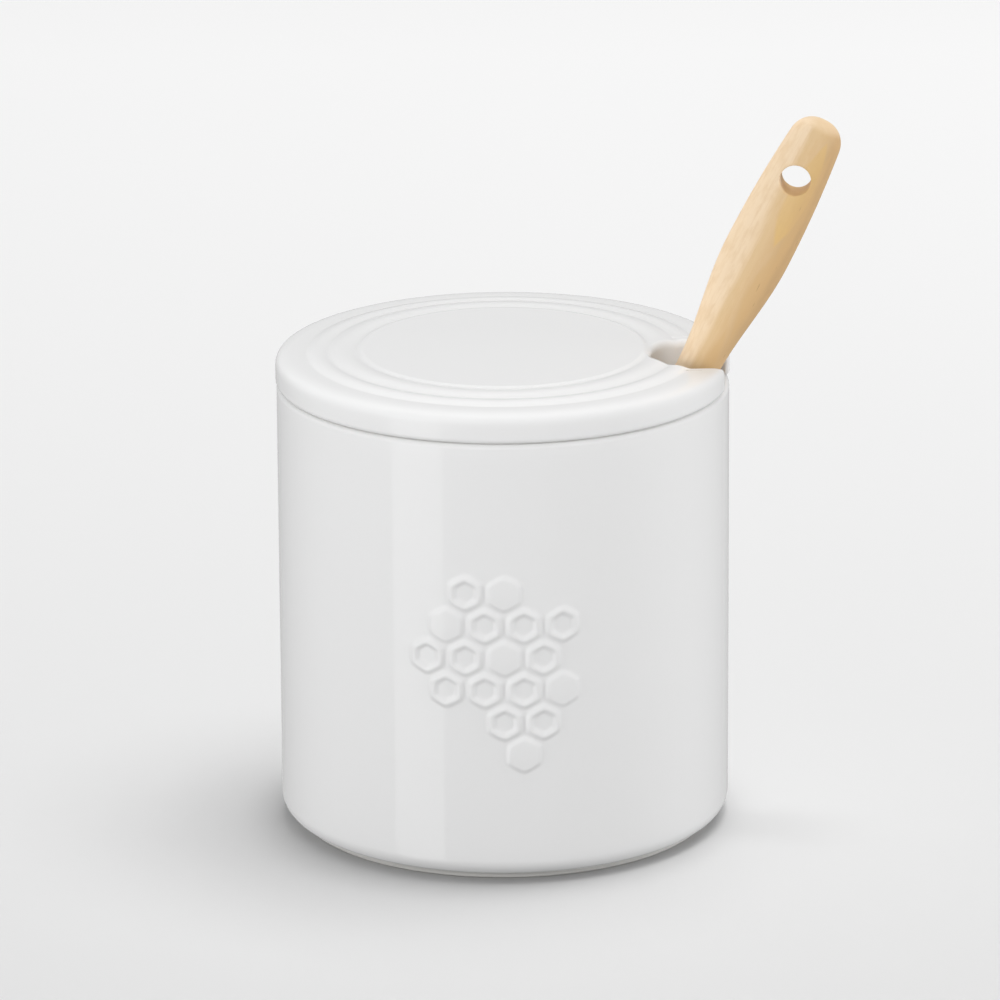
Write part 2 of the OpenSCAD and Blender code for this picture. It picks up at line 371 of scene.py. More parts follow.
def round_off(distance, radius):
    """How far a rounded edge lies below its corner, at a distance in from the edge."""
    if distance >= radius:
        return 0
    return radius - math.sqrt(radius ** 2 - (radius - distance) ** 2)


def lid_outline(inset):
    """Half the lid's outline seen from above, at a distance in from its edge, from the notch's inner
    end round to the far side. Each point has its place, and 1 in the notch or 0 on the rim."""
    notch_r = NOTCH_R + inset
    rim_r = LID_R - inset
    corner_r = max(NOTCH_CORNER - inset, NOTCH_CORNER * 0.4)
    # The corner's arc touches the notch's arc and the rim
    reach_square = (rim_r - corner_r) ** 2
    corner_x = (reach_square - (notch_r + corner_r) ** 2 + NOTCH_MIDDLE ** 2) / (2 * NOTCH_MIDDLE)
    corner_y = math.sqrt(reach_square - corner_x ** 2)
    notch_turn = math.degrees(math.atan2(corner_y, corner_x - NOTCH_MIDDLE))
    rim_turn = math.degrees(math.atan2(corner_y, corner_x))
    notch = arc(NOTCH_MIDDLE, 0, notch_r, 180, notch_turn, NOTCH_STEPS)[:-1]
    corner = arc(corner_x, corner_y, corner_r, notch_turn - 180, rim_turn, CORNER_STEPS)[:-1]
    points = [(x, y, 1) for x, y in notch]
    points += [(x, y, 1 - soft_step(i / CORNER_STEPS)) for i, (x, y) in enumerate(corner)]
    points += [(x, y, 0) for x, y in arc(0, 0, rim_r, rim_turn, 180, RIM_STEPS)]
    return points


def lid_loops():
    """The lid's skin as loops with a point for each place of the outline, from the top's middle
    out over the edge and back to the underside's middle."""
    half = lid_outline(0)
    shares = [point[2] for point in half + half[-2:0:-1]]
    in_notch = sum(1 for point in half if point[2] > 0)
    notch_fan = math.radians(NOTCH_FAN)
    angles = []
    for i in range(len(half)):
        if i < in_notch:
            angles.append(notch_fan * i / in_notch)
        else:
            angles.append(mix(notch_fan, math.pi, (i - in_notch) / (len(half) - 1 - in_notch)))
    angles += [-angle for angle in angles[-2:0:-1]]

    def inset(distance):
        moved = lid_outline(distance)
        return [(x, y) for x, y, _ in moved] + [(x, -y) for x, y, _ in moved[-2:0:-1]]

    def circle(radius):
        return [(radius * math.cos(angle), radius * math.sin(angle)) for angle in angles]

    def between(share):
        return [(mix(a[0], b[0], share), mix(a[1], b[1], share))
                for a, b in zip(circle(FAN_R), inset(EDGE_BAND))]

    def top(plan, distance):
        return [(x, y, lid_top_at(math.hypot(x, y)) - share * round_off(distance, NOTCH_TOP_ROUND))
                for (x, y), share in zip(plan, shares)]

    def under(plan, distance):
        return [(x, y, lid_under_at(math.hypot(x, y))
                 + round_off(distance, mix(LID_EDGE, NOTCH_LOW_ROUND, share)))
                for (x, y), share in zip(plan, shares)]

    # Distances in from the edge, closest together at the edge
    distances = [EDGE_BAND * (1 - math.cos(math.pi / 2 * i / EDGE_ROWS)) for i in range(EDGE_ROWS)]
    top_edge = top(inset(0), 0)
    low_edge = under(inset(0), 0)
    loops = [top(circle(FAN_R * i / FAN_ROWS), EDGE_BAND) for i in range(FAN_ROWS)]
    loops += [top(between(i / TOP_ROWS), EDGE_BAND) for i in range(TOP_ROWS + 1)]
    loops += [top(inset(distance), distance) for distance in reversed(distances)]
    for i in range(1, WALL_ROWS):
        loops.append([tuple(mix(a, b, i / WALL_ROWS) for a, b in zip(high, low))
                      for high, low in zip(top_edge, low_edge)])
    loops += [under(inset(distance), distance) for distance in distances]
    loops += [under(between(1 - i / UNDER_ROWS), EDGE_BAND) for i in range(UNDER_ROWS + 1)]
    loops += [under(circle(FAN_R * i / FAN_ROWS), EDGE_BAND) for i in range(FAN_ROWS - 1, -1, -1)]
    return loops


def locating_ring():
    """The ring under the lid, open at the notch, with its ends and its root rounded."""
    bottom = POT_H - LOCATOR_H
    outline = (
        arc(LOCATOR_IN_R - LOCATOR_FILLET, LID_UNDER - LOCATOR_FILLET, LOCATOR_FILLET, 90, 0, 4)
        + arc(LOCATOR_IN_R + LOCATOR_EDGE, bottom + LOCATOR_EDGE, LOCATOR_EDGE, 180, 270, 6)
        + arc(LOCATOR_R - LOCATOR_EDGE, bottom + LOCATOR_EDGE, LOCATOR_EDGE, 270, 360, 6)
        + arc(LOCATOR_R + LOCATOR_FILLET, POT_H - LOCATOR_FILLET, LOCATOR_FILLET, 180, 90, 4)
    )
    # The outline closes inside the lid, just above its underside
    outline += [(LOCATOR_R, POT_H + 0.5), (LOCATOR_IN_R, LID_UNDER + 0.5)]
    open_half = math.degrees(math.asin((NOTCH_R + LOCATOR_END_GAP) / LOCATOR_IN_R))
    shape = bmesh.new()
    corners = [shape.verts.new((radius * MM, 0, height * MM)) for radius, height in outline]
    start = shape.faces.new(corners)
    bmesh.ops.rotate(shape, verts=corners, matrix=Matrix.Rotation(math.radians(open_half), 3, "Z"))
    made = bmesh.ops.spin(shape, geom=[start], cent=(0, 0, 0), axis=(0, 0, 1),
                          angle=math.radians(360 - 2 * open_half), steps=160)
    end = [item for item in made["geom_last"] if isinstance(item, bmesh.types.BMFace)]
    bmesh.ops.bevel(shape, geom=list(start.edges) + list(end[0].edges), offset=LOCATOR_END_ROUND * MM,
                    affect="EDGES", segments=3, profile=0.5, material=-1)
    return closed(shape)


def build_lid(material):
    loops = lid_loops()
    lid = wrapped(len(loops) - 1, len(loops[0]), lambda row, column: loops[row][column])
    ring = locating_ring()
    ring_mesh = bpy.data.meshes.new("locating_ring")
    ring.to_mesh(ring_mesh)
    ring.free()
    lid.from_mesh(ring_mesh)
    bpy.data.meshes.remove(ring_mesh)
    bmesh.ops.rotate(lid, verts=lid.verts, matrix=Matrix.Rotation(TURN, 3, "Z"))
    return finish_piece("lid_glazed", lid, material, "lid", "lid_glaze", "lid")


# Dipper

# Power of the handle's cross-section: 2 is an ellipse, and more is squarer
OVAL_POWER = 2.25
HANDLE_SIDES = 64
# Rows and columns of the handle's grid from the hole's middle to its edge, and to where it has faded out
HOLE_CELLS = 4
HOLE_FADE_CELLS = 8
HOLE_ROW = 0.66
# Rows of the handle's rounded end, from there to the hole, and from the hole to the head
CAP_ROWS = 20
END_ROWS = 6
SHAFT_ROWS = 90


def swell(from_end):
    """Half the handle's width at a distance from its end, without the rounded end."""
    if from_end < BELLY_FROM_END:
        return BELLY_W / 2 - END_TAPER / 2 * (1 - from_end / BELLY_FROM_END) ** 2
    if from_end < NECK_FROM_END:
        share = (from_end - BELLY_FROM_END) / (NECK_FROM_END - BELLY_FROM_END)
        return NECK_W / 2 + (BELLY_W - NECK_W) / 4 * (1 + math.cos(math.pi * share))
    return NECK_W / 2


def opened(from_end, depth, curve):
    """How far the rounded end has opened, from 0 to 1. depth is how far down the handle it rounds."""
    if from_end >= depth:
        return 1
    return (1 - (1 - from_end / depth) ** curve) ** (1 / curve)


def half_width(from_end):
    return swell(from_end) * opened(from_end, END_ROUND, END_CURVE)


def half_through(from_end):
    """Half the handle's thickness. The end is nearly flat, with its edges sanded round."""
    return HANDLE_T / 2 * opened(from_end, END_EDGE, 2)


def handle_rows():
    """Distances from the end of the handle's rows, evenly spaced round the hole."""
    cap = [END_ROUND * (1 - math.cos(math.pi / 2 * i / CAP_ROWS)) for i in range(CAP_ROWS)]
    hole = [HOLE_FROM_END + HOLE_ROW * i for i in range(-HOLE_FADE_CELLS, HOLE_FADE_CELLS + 1)]
    between = [mix(END_ROUND, hole[0], i / END_ROWS) for i in range(END_ROWS)]
    wood_l = DIPPER_L - HANDLE_START
    shaft = [mix(hole[-1], wood_l, i / SHAFT_ROWS) for i in range(1, SHAFT_ROWS + 1)]
    return cap + between + hole + shaft


def near_hole(row, column, from_end, across):
    """Opens the grid's square rings round the hole into circles, which fade back into the grid.
    row and column count from the hole's middle."""
    far = max(abs(row), abs(column))
    if far == 0 or far >= HOLE_FADE_CELLS:
        return from_end, across
    if abs(row) >= abs(column):
        turn = math.pi / 4 * column / far
        along, side = math.copysign(math.cos(turn), row), math.sin(turn)
    else:
        turn = math.pi / 4 * row / far
        along, side = math.sin(turn), math.copysign(math.cos(turn), column)
    radius = HOLE_R * far / HOLE_CELLS
    fade = soft_step((far - HOLE_CELLS) / (HOLE_FADE_CELLS - HOLE_CELLS))
    return mix(HOLE_FROM_END + along * radius, from_end, fade), mix(side * radius, across, fade)


def build_handle(material):
    rows = handle_rows()
    hole_row = rows.index(HOLE_FROM_END)
    quarter = HANDLE_SIDES // 4
    tenon_end = HANDLE_START - TENON_L
    tenon = [HANDLE_START, tenon_end + TENON_EDGE, tenon_end, tenon_end]
    tenon_radii = [TENON_R, TENON_R, TENON_R - TENON_EDGE, 0]

    def place(row, column):
        angle = 2 * math.pi * column / HANDLE_SIDES
        if row >= len(rows):
            radius = tenon_radii[row - len(rows)]
            return radius * math.cos(angle), radius * math.sin(angle), tenon[row - len(rows)]
        grid_across = half_width(rows[row]) * math.cos(angle)
        from_middle = (column % (2 * quarter) - quarter) * (-1 if column < 2 * quarter else 1)
        from_end, across = near_hole(row - hole_row, from_middle, rows[row], grid_across)
        half_w = half_width(from_end)
        bulge = max(1 - abs(across / half_w) ** OVAL_POWER, 0) if half_w else 0
        through = half_through(from_end) * bulge ** (1 / OVAL_POWER)
        return across, math.copysign(through, math.sin(angle)) if through else 0, DIPPER_L - from_end

    handle = wrapped(len(rows) + len(tenon) - 1, HANDLE_SIDES, place)
    middle = DIPPER_L - HOLE_FROM_END
    inside = [
        corner for corner in handle.verts
        if math.hypot(corner.co.x / MM, corner.co.z / MM - middle) < HOLE_R - 0.1
    ]
    bmesh.ops.delete(handle, geom=inside, context="VERTS")
    rims = [edge for edge in handle.edges if edge.is_boundary]
    bmesh.ops.bridge_loops(handle, edges=rims)
    bmesh.ops.bevel(handle, geom=rims, offset=HOLE_EDGE * MM, affect="EDGES", segments=3, profile=0.5,
                    material=-1)
    bmesh.ops.recalc_face_normals(handle, faces=handle.faces)
    bmesh.ops.transform(handle, verts=handle.verts, matrix=TO_DIPPER)
    return finish_piece("handle_turned", handle, material, "dipper", "handle_wood", "dipper_handle")


def barrel_r(from_tip):
    """Radius of the head's barrel shape at a distance from the tip."""
    share = (from_tip - HEAD_L / 2) / (HEAD_L / 2 + BARREL_OVER)
    return HEAD_R * math.sqrt(1 - share ** 2)


def build_head(material):
    pitch = HEAD_L / RIDGES
    half = RIDGE_T / 2
    tip_end = pitch - (pitch - RIDGE_T) / 2
    tip_turn = math.degrees(math.acos((TIP_R - tip_end) / TIP_R))
    profile = arc(0, TIP_R, TIP_R, -90, tip_turn - 90, 20)
    for ridge in range(1, RIDGES):
        at = pitch * (ridge + 0.5)
        profile += arc(GROOVE_R + GROOVE_FILLET, at - half - GROOVE_FILLET, GROOVE_FILLET, 180, 90, 4)
        profile += arc(barrel_r(at) - half, at, half, -90, 90, 12)
        if ridge < RIDGES - 1:
            profile += arc(GROOVE_R + GROOVE_FILLET, at + half + GROOVE_FILLET, GROOVE_FILLET, 270, 180, 4)
    profile += [(GROOVE_R, HEAD_L - 1.2), (GROOVE_R, HEAD_L - 0.3), (GROOVE_R - 0.3, HEAD_L)]
    bore = HEAD_L - CORE_L
    profile += [(CORE_R, HEAD_L), (CORE_R, bore), (0, bore)]
    head = spun(profile, [(360, 96)])
    bmesh.ops.transform(head, verts=head.verts, matrix=TO_DIPPER)
    return finish_piece("head_silicone_ridges", head, material, "dipper", "head_silicone", "dipper_head")


# Materials

def add(tree, kind, inputs=None, **settings):
    """Adds a node. inputs gives each socket a value or the output that feeds it."""
    made = tree.nodes.new(kind)
    for name, value in settings.items():
        setattr(made, name, value)
    for name, value in (inputs or {}).items():
        if isinstance(value, bpy.types.NodeSocket):
            tree.links.new(value, made.inputs[name])
        else:
            made.inputs[name].default_value = value
    return made


def maths(tree, operation, a, b=0.0, c=0.0):
    return add(tree, "ShaderNodeMath", {0: a, 1: b, 2: c}, operation=operation).outputs[0]


def band(tree, value, low, high):
    """0 where a value is at low, 1 where it is at high, and held outside."""
    return add(tree, "ShaderNodeMapRange", {"Value": value, "From Min": low, "From Max": high},
               interpolation_type="SMOOTHSTEP").outputs["Result"]


def tint(tree, share, a, b, way="MIX"):
    """Blends colour b over colour a."""
    made = add(tree, "ShaderNodeMix", {0: share, 6: a, 7: b}, data_type="RGBA", blend_type=way)
    return made.outputs[2]


def noise_at(tree, place, scale, detail=2.0, roughness=0.5):
    """A noise value. scale is how many spots it has in a metre."""
    return add(tree, "ShaderNodeTexNoise", {"Vector": place, "Scale": scale, "Detail": detail,
                                            "Roughness": roughness}).outputs["Fac"]


def object_place(tree):
    return add(tree, "ShaderNodeTexCoord").outputs["Object"]


def new_material(name):
    material = bpy.data.materials.new(name)
    material.use_nodes = True
    tree = material.node_tree
    return material, tree, tree.nodes["Principled BSDF"]


def linear(red, green, blue):
    """A colour as it is seen, from 0 to 255, made into the shader's own scale."""
    return tuple(
        (part / 255 / 12.92 if part <= 10 else ((part / 255 + 0.055) / 1.055) ** 2.4)
        for part in (red, green, blue)
    ) + (1.0,)


GLAZE_WHITE = linear(229, 229, 229)
POOLED_GLAZE = linear(236, 237, 238)
BARE_CLAY = linear(208, 207, 204)


def glaze_group():
    """Glaze over stoneware: slow ripples, faint pooling and specks, and bare clay where the mask says."""
    tree = bpy.data.node_groups.new("glaze_over_clay", "ShaderNodeTree")
    for name, kind in (("Place", "NodeSocketVector"), ("Glaze", "NodeSocketColor"),
                       ("Clay", "NodeSocketColor"), ("Bare", "NodeSocketFloat")):
        tree.interface.new_socket(name, in_out="INPUT", socket_type=kind)
    for name, kind in (("Colour", "NodeSocketColor"), ("Roughness", "NodeSocketFloat"),
                       ("Coat", "NodeSocketFloat"), ("Normal", "NodeSocketVector")):
        tree.interface.new_socket(name, in_out="OUTPUT", socket_type=kind)
    given = tree.nodes.new("NodeGroupInput").outputs
    result = tree.nodes.new("NodeGroupOutput").inputs
    cloud = noise_at(tree, given["Place"], 22, 3)
    shade = tint(tree, maths(tree, "MULTIPLY", cloud, 0.08), given["Glaze"], POOLED_GLAZE)
    speck = band(tree, noise_at(tree, given["Place"], 900, 1), 0.76, 0.8)
    shade = tint(tree, maths(tree, "MULTIPLY", speck, 0.06), shade, given["Clay"])
    grit = noise_at(tree, given["Place"], 2500, 2, 0.7)
    clay = tint(tree, maths(tree, "MULTIPLY", grit, 0.25), given["Clay"], (0.45, 0.43, 0.4, 1))
    tree.links.new(tint(tree, given["Bare"], shade, clay), result["Colour"])
    glazed_rough = maths(tree, "MULTIPLY_ADD", cloud, 0.06, 0.45)
    rough = add(tree, "ShaderNodeMix", {0: given["Bare"], 2: glazed_rough, 3: 0.75}, data_type="FLOAT")
    tree.links.new(rough.outputs[0], result["Roughness"])
    tree.links.new(maths(tree, "SUBTRACT", 1, given["Bare"]), result["Coat"])
    ripple = add(tree, "ShaderNodeBump", {"Strength": 0.35, "Distance": 0.0002,
                                          "Height": noise_at(tree, given["Place"], 70, 1)})
    sand = maths(tree, "MULTIPLY", grit, given["Bare"])
    rough_skin = add(tree, "ShaderNodeBump", {"Strength": 0.5, "Distance": 0.00006, "Height": sand,
                                              "Normal": ripple.outputs[0]})
    tree.links.new(rough_skin.outputs[0], result["Normal"])
    return tree


def glaze_material(name, group, bare):
    """White glaze. bare makes the mask of the places that are left unglazed."""
    material, tree, skin = new_material(name)
    place = object_place(tree)
    mixed = add(tree, "ShaderNodeGroup", node_tree=group)
    tree.links.new(place, mixed.inputs["Place"])
    mixed.inputs["Glaze"].default_value = GLAZE_WHITE
    mixed.inputs["Clay"].default_value = BARE_CLAY
    tree.links.new(bare(tree, place), mixed.inputs["Bare"])
    for output, socket in (("Colour", "Base Color"), ("Roughness", "Roughness"),
                           ("Coat", "Coat Weight"), ("Normal", "Normal")):
        tree.links.new(mixed.outputs[output], skin.inputs[socket])
    skin.inputs["Specular IOR Level"].default_value = 0.2
    skin.inputs["Coat Roughness"].default_value = 0.04
    skin.inputs["Coat IOR"].default_value = 1.5
    return material


def bare_foot(tree, place):
    """The foot ring is left unglazed up to an uneven line."""
    height = add(tree, "ShaderNodeSeparateXYZ", {0: place}).outputs[2]
    wander = maths(tree, "MULTIPLY", noise_at(tree, place, 60, 2), 0.0006)
    line = maths(tree, "ADD", height, wander)
    return band(tree, line, (FOOT_H + 0.2) * MM, (FOOT_H - 0.1) * MM)


def bare_seat(tree, place):
    """The lid is left unglazed where it rests on the rim."""
    parts = add(tree, "ShaderNodeSeparateXYZ", {0: place}).outputs
    flat = add(tree, "ShaderNodeCombineXYZ", {0: parts[0], 1: parts[1]}).outputs[0]
    radius = add(tree, "ShaderNodeVectorMath", {0: flat}, operation="LENGTH").outputs["Value"]
    low = band(tree, parts[2], (POT_H + 0.4) * MM, (POT_H + 0.2) * MM)
    outer = band(tree, radius, (LOCATOR_R + LOCATOR_FILLET) * MM, (LOCATOR_R + LOCATOR_FILLET + 0.2) * MM)
    return maths(tree, "MULTIPLY", low, outer)


def dipper_place(tree):
    """Object coordinates turned into the dipper's own: x across, y through, z up from the tip."""
    back = TO_DIPPER.inverted()
    return add(tree, "ShaderNodeMapping", {"Vector": object_place(tree), "Location": back.translation,
                                           "Rotation": back.to_euler()}).outputs[0]


def flame_group():
    """A pointed growth figure in wood: 1 inside a long lens about a centre, with a wavering border."""
    tree = bpy.data.node_groups.new("growth_flame", "ShaderNodeTree")
    for name, kind in (("Place", "NodeSocketVector"), ("Centre", "NodeSocketVector"),
                       ("Half Width", "NodeSocketFloat"), ("Half Length", "NodeSocketFloat"),
                       ("Border", "NodeSocketFloat")):
        tree.interface.new_socket(name, in_out="INPUT", socket_type=kind)
    tree.interface.new_socket("Mask", in_out="OUTPUT", socket_type="NodeSocketFloat")
    given = tree.nodes.new("NodeGroupInput").outputs
    result = tree.nodes.new("NodeGroupOutput").inputs
    away = add(tree, "ShaderNodeVectorMath", {0: given["Place"], 1: given["Centre"]},
               operation="SUBTRACT").outputs[0]
    parts = add(tree, "ShaderNodeSeparateXYZ", {0: away}).outputs
    slanted = maths(tree, "MULTIPLY_ADD", parts[1], 0.5, parts[0])
    across = maths(tree, "DIVIDE", maths(tree, "ABSOLUTE", slanted), given["Half Width"])
    along = maths(tree, "POWER", maths(tree, "ABSOLUTE", maths(tree, "DIVIDE", parts[2],
                                                              given["Half Length"])), 2)
    long_place = add(tree, "ShaderNodeMapping", {"Vector": given["Place"], "Scale": (1, 1, 0.2)})
    waver = noise_at(tree, long_place.outputs[0], 420, 2)
    reach = maths(tree, "ADD", maths(tree, "ADD", across, along), maths(tree, "MULTIPLY", waver, 0.5))
    inside = maths(tree, "DIVIDE", maths(tree, "SUBTRACT", 1.25, reach), given["Border"])
    tree.links.new(band(tree, inside, 0, 1), result["Mask"])
    return tree


PALE_WOOD = linear(237, 213, 181)
# The tan and deep browns are partly the wood's own tone and partly painted shade on the handle's side
# turned from the light.
TAN_WOOD_AND_SHADE = linear(222, 192, 149)
DEEP_WOOD_AND_SHADE = linear(200, 165, 120)
YELLOW_WOOD = linear(222, 186, 122)
ORANGE_WOOD = linear(212, 176, 126)
PORE_BROWN = linear(140, 102, 68)


def wood_material():
    """Pale sanded hardwood: pale on one side and darker across to the other, partly wood tone and partly
    painted shade, pointed growth figures, faint fibres and a few dark pores.
    """
    material, tree, skin = new_material("sanded_wood")
    place = dipper_place(tree)
    parts = add(tree, "ShaderNodeSeparateXYZ", {0: place}).outputs

    def along_grain(squeeze, scale, detail):
        drawn = add(tree, "ShaderNodeMapping", {"Vector": place, "Scale": (1, 1, squeeze)})
        return noise_at(tree, drawn.outputs[0], scale, detail, 0.6)

    def flame(group, across, height, half_width, half_length, border):
        made = add(tree, "ShaderNodeGroup", node_tree=group)
        tree.links.new(place, made.inputs["Place"])
        made.inputs["Centre"].default_value = Vector((across, 0, height)) * MM
        made.inputs["Half Width"].default_value = half_width * MM
        made.inputs["Half Length"].default_value = half_length * MM
        made.inputs["Border"].default_value = border
        return made.outputs["Mask"]

    group = flame_group()
    hole_z = DIPPER_L - HOLE_FROM_END
    # Across the handle the colour goes from pale through tan to deep brown towards +x: partly the wood's
    # own tone, partly painted shade on the side turned away from the light.
    drift = maths(tree, "MULTIPLY_ADD", along_grain(0.12, 300, 1), 0.003, parts[0])
    colour = tint(tree, band(tree, drift, -0.0014, 0.0006), PALE_WOOD, TAN_WOOD_AND_SHADE)
    colour = tint(tree, band(tree, drift, 0.001, 0.0075), colour, DEEP_WOOD_AND_SHADE)
    round_hole = flame(group, 0.5, hole_z - 3, 3.2, 14, 0.25)
    low = band(tree, parts[2], (hole_z - 6) * MM, (hole_z - 15) * MM)
    strength = maths(tree, "MULTIPLY_ADD", low, 0.3, 0.55)
    colour = tint(tree, maths(tree, "MULTIPLY", round_hole, strength), colour, YELLOW_WOOD)
    for across, below, half_width, half_length in ((1.5, 28, 2.4, 13), (-0.4, 46, 2.2, 12), (3, 8, 2, 20)):
        mask = flame(group, across, hole_z - below, half_width, half_length, 0.6)
        colour = tint(tree, maths(tree, "MULTIPLY", mask, 0.6), colour, ORANGE_WOOD)
    cloud = along_grain(0.3, 800, 3)
    colour = tint(tree, maths(tree, "MULTIPLY", band(tree, cloud, 0.4, 0.7), 0.3), colour, ORANGE_WOOD)
    fibre = along_grain(0.03, 3000, 2)
    colour = tint(tree, maths(tree, "MULTIPLY", band(tree, fibre, 0.5, 0.75), 0.2), colour, ORANGE_WOOD)
    pore = band(tree, along_grain(0.1, 1900, 1), 0.72, 0.78)
    shore = band(tree, drift, 0.003, 0.006)
    dark = maths(tree, "MULTIPLY", maths(tree, "MULTIPLY", pore, shore), 0.6)
    colour = tint(tree, dark, colour, PORE_BROWN)
    # The last two millimetres at the handle's end are paler.
    paler_end = band(tree, parts[2], (DIPPER_L - 2) * MM, (DIPPER_L - 0.6) * MM)
    colour = tint(tree, maths(tree, "MULTIPLY", paler_end, 0.4), colour, PALE_WOOD)
    tree.links.new(colour, skin.inputs["Base Color"])
    tree.links.new(maths(tree, "MULTIPLY_ADD", fibre, 0.2, 0.42), skin.inputs["Roughness"])
    height = maths(tree, "SUBTRACT", maths(tree, "MULTIPLY", fibre, 0.4), dark)
    bump = add(tree, "ShaderNodeBump", {"Strength": 0.3, "Distance": 0.00008, "Height": height})
    tree.links.new(bump.outputs[0], skin.inputs["Normal"])
    skin.inputs["Specular IOR Level"].default_value = 0.4
    return material


def moulded_material(name, colour, roughness, grain):
    """Moulded soft material: faint cloudiness and a fine matt grain."""
    material, tree, skin = new_material(name)
    place = object_place(tree)
    cloud = noise_at(tree, place, 120, 2)
    darker = tuple(part * 0.93 for part in colour[:3]) + (1.0,)
    tree.links.new(tint(tree, cloud, colour, darker), skin.inputs["Base Color"])
    spread = maths(tree, "MULTIPLY", cloud, 0.12)
    tree.links.new(maths(tree, "ADD", spread, roughness), skin.inputs["Roughness"])
    bump = add(tree, "ShaderNodeBump", {"Strength": 0.25, "Distance": 0.00003,
                                        "Height": noise_at(tree, place, grain, 1)})
    tree.links.new(bump.outputs[0], skin.inputs["Normal"])
    return material


# Floor, light and camera

FLOOR_SIZE = 12
# The floor's colour as the camera sees it, near and far: painted light, darker near the camera and paler
# far off.
FLOOR_NEAR = 0.77
FLOOR_FAR = 0.96
FLOOR_FAR_Y = 0.7
FLOOR_NEAR_Y = -0.15
# How pale the floor is to the light that it throws back at the object
FLOOR_BOUNCE = 0.35
BACKDROP = 0.92
# What glossy surfaces show of the studio behind the object, and before and beside it
STUDIO_BACK = 0.55
STUDIO_FRONT = 0.80
SKY_LIGHT = 0.48

# Each lamp: bearing from the camera's side and height in degrees, distance, width, height and watts.
# These light the floor and leave the object alone. The object's shadow falls to the left and the front.
FLOOR_LAMPS = {
    "floor_key": (97, 72, 1.9, 0.9, 0.9, 8.0),
    "floor_back": (150, 76, 1.9, 0.9, 0.9, 7.0),
    "floor_overhead": (150, 87, 6.0, 0.8, 0.8, 60.0),
}
# These light the object and leave the floor alone
OBJECT_LAMPS = {
    "top_soft": (200, 82, 1.9, 1.2, 1.2, 10.2),
    "back_high": (170, 45, 1.9, 0.8, 0.8, 14.0),
    "left_level": (-60, 3, 1.8, 0.8, 0.8, 19.0),
    "right_level": (60, 3, 1.8, 0.8, 0.8, 12.5),
    "left_front_near": (-25, 26, 0.33, 0.15, 0.15, 0.17),
    "right_front_near": (25, 26, 0.33, 0.15, 0.15, 0.04),
    "right_near": (75, 8, 0.33, 0.15, 0.15, 0.24),
}
LAMP_AIM = Vector((0, 0, 0.06))

# Reflection card at the left: bearings of its two edges as the pot's wall shows them, and its brightness
CARD_FROM = 30.4
CARD_TO = 60
CARD_DISTANCE = 1.0
CARD_LOW = -0.9
CARD_HIGH = 0.45
CARD_LIGHT = 1.7


def bearing(azimuth, elevation):
    """Direction from the object: azimuth 0 is the camera's side and 90 is +x."""
    turn, rise = math.radians(azimuth), math.radians(elevation)
    return Vector((math.sin(turn) * math.cos(rise), -math.cos(turn) * math.cos(rise), math.sin(rise)))


def build_floor():
    shape = bmesh.new()
    bmesh.ops.create_grid(shape, x_segments=1, y_segments=1, size=FLOOR_SIZE / 2)
    floor = as_object("floor", shape)
    floor.visible_glossy = False
    material, tree, skin = new_material("pale_floor")
    # Painted light: for camera rays the floor is painted darker near and paler far off.
    across = add(tree, "ShaderNodeSeparateXYZ", {0: object_place(tree)}).outputs[1]
    far = add(tree, "ShaderNodeMapRange", {"Value": across, "From Min": FLOOR_NEAR_Y,
                                           "From Max": FLOOR_FAR_Y}).outputs["Result"]
    near_colour = (FLOOR_NEAR,) * 3 + (1,)
    far_colour = (FLOOR_FAR,) * 3 + (1,)
    seen = add(tree, "ShaderNodeLightPath").outputs["Is Camera Ray"]
    bounce = (FLOOR_BOUNCE,) * 3 + (1,)
    colour = tint(tree, seen, bounce, tint(tree, far, near_colour, far_colour))
    tree.links.new(colour, skin.inputs["Base Color"])
    skin.inputs["Roughness"].default_value = 1
    skin.inputs["Specular IOR Level"].default_value = 0
    floor.data.materials.append(material)
    return floor


def build_card():
    """A white card that only reflections see. It gives the wall its upright highlight."""
    shape = bmesh.new()
    bmesh.ops.create_grid(shape, x_segments=1, y_segments=1, size=0.5)
    middle = (CARD_FROM + CARD_TO) / 2
    width = 2 * CARD_DISTANCE * math.tan(math.radians((CARD_TO - CARD_FROM) / 2))
    bmesh.ops.scale(shape, verts=shape.verts, vec=(width, CARD_HIGH - CARD_LOW, 1))
    card = as_object("reflection_card", shape)
    facing = bearing(-middle, 0)
    card.location = facing * CARD_DISTANCE + Vector((0, 0, (CARD_HIGH + CARD_LOW) / 2))
    card.rotation_mode = "QUATERNION"
    card.rotation_quaternion = facing.to_track_quat("-Z", "Y")
    for sight in ("visible_camera", "visible_diffuse", "visible_shadow", "visible_transmission"):
        setattr(card, sight, False)
    material = bpy.data.materials.new("reflection_card")
    material.use_nodes = True
    tree = material.node_tree
    tree.nodes.clear()
    across = add(tree, "ShaderNodeSeparateXYZ", {0: object_place(tree)}).outputs[0]
    fade = band(tree, across, width * 0.5, width * 0.35)
    glow = add(tree, "ShaderNodeEmission", {"Strength": maths(tree, "MULTIPLY", fade, CARD_LIGHT)})
    clear = add(tree, "ShaderNodeBsdfTransparent")
    shown = add(tree, "ShaderNodeMixShader", {0: fade, 1: clear.outputs[0], 2: glow.outputs[0]})
    end = add(tree, "ShaderNodeOutputMaterial")
    tree.links.new(shown.outputs[0], end.inputs["Surface"])
    card.data.materials.append(material)


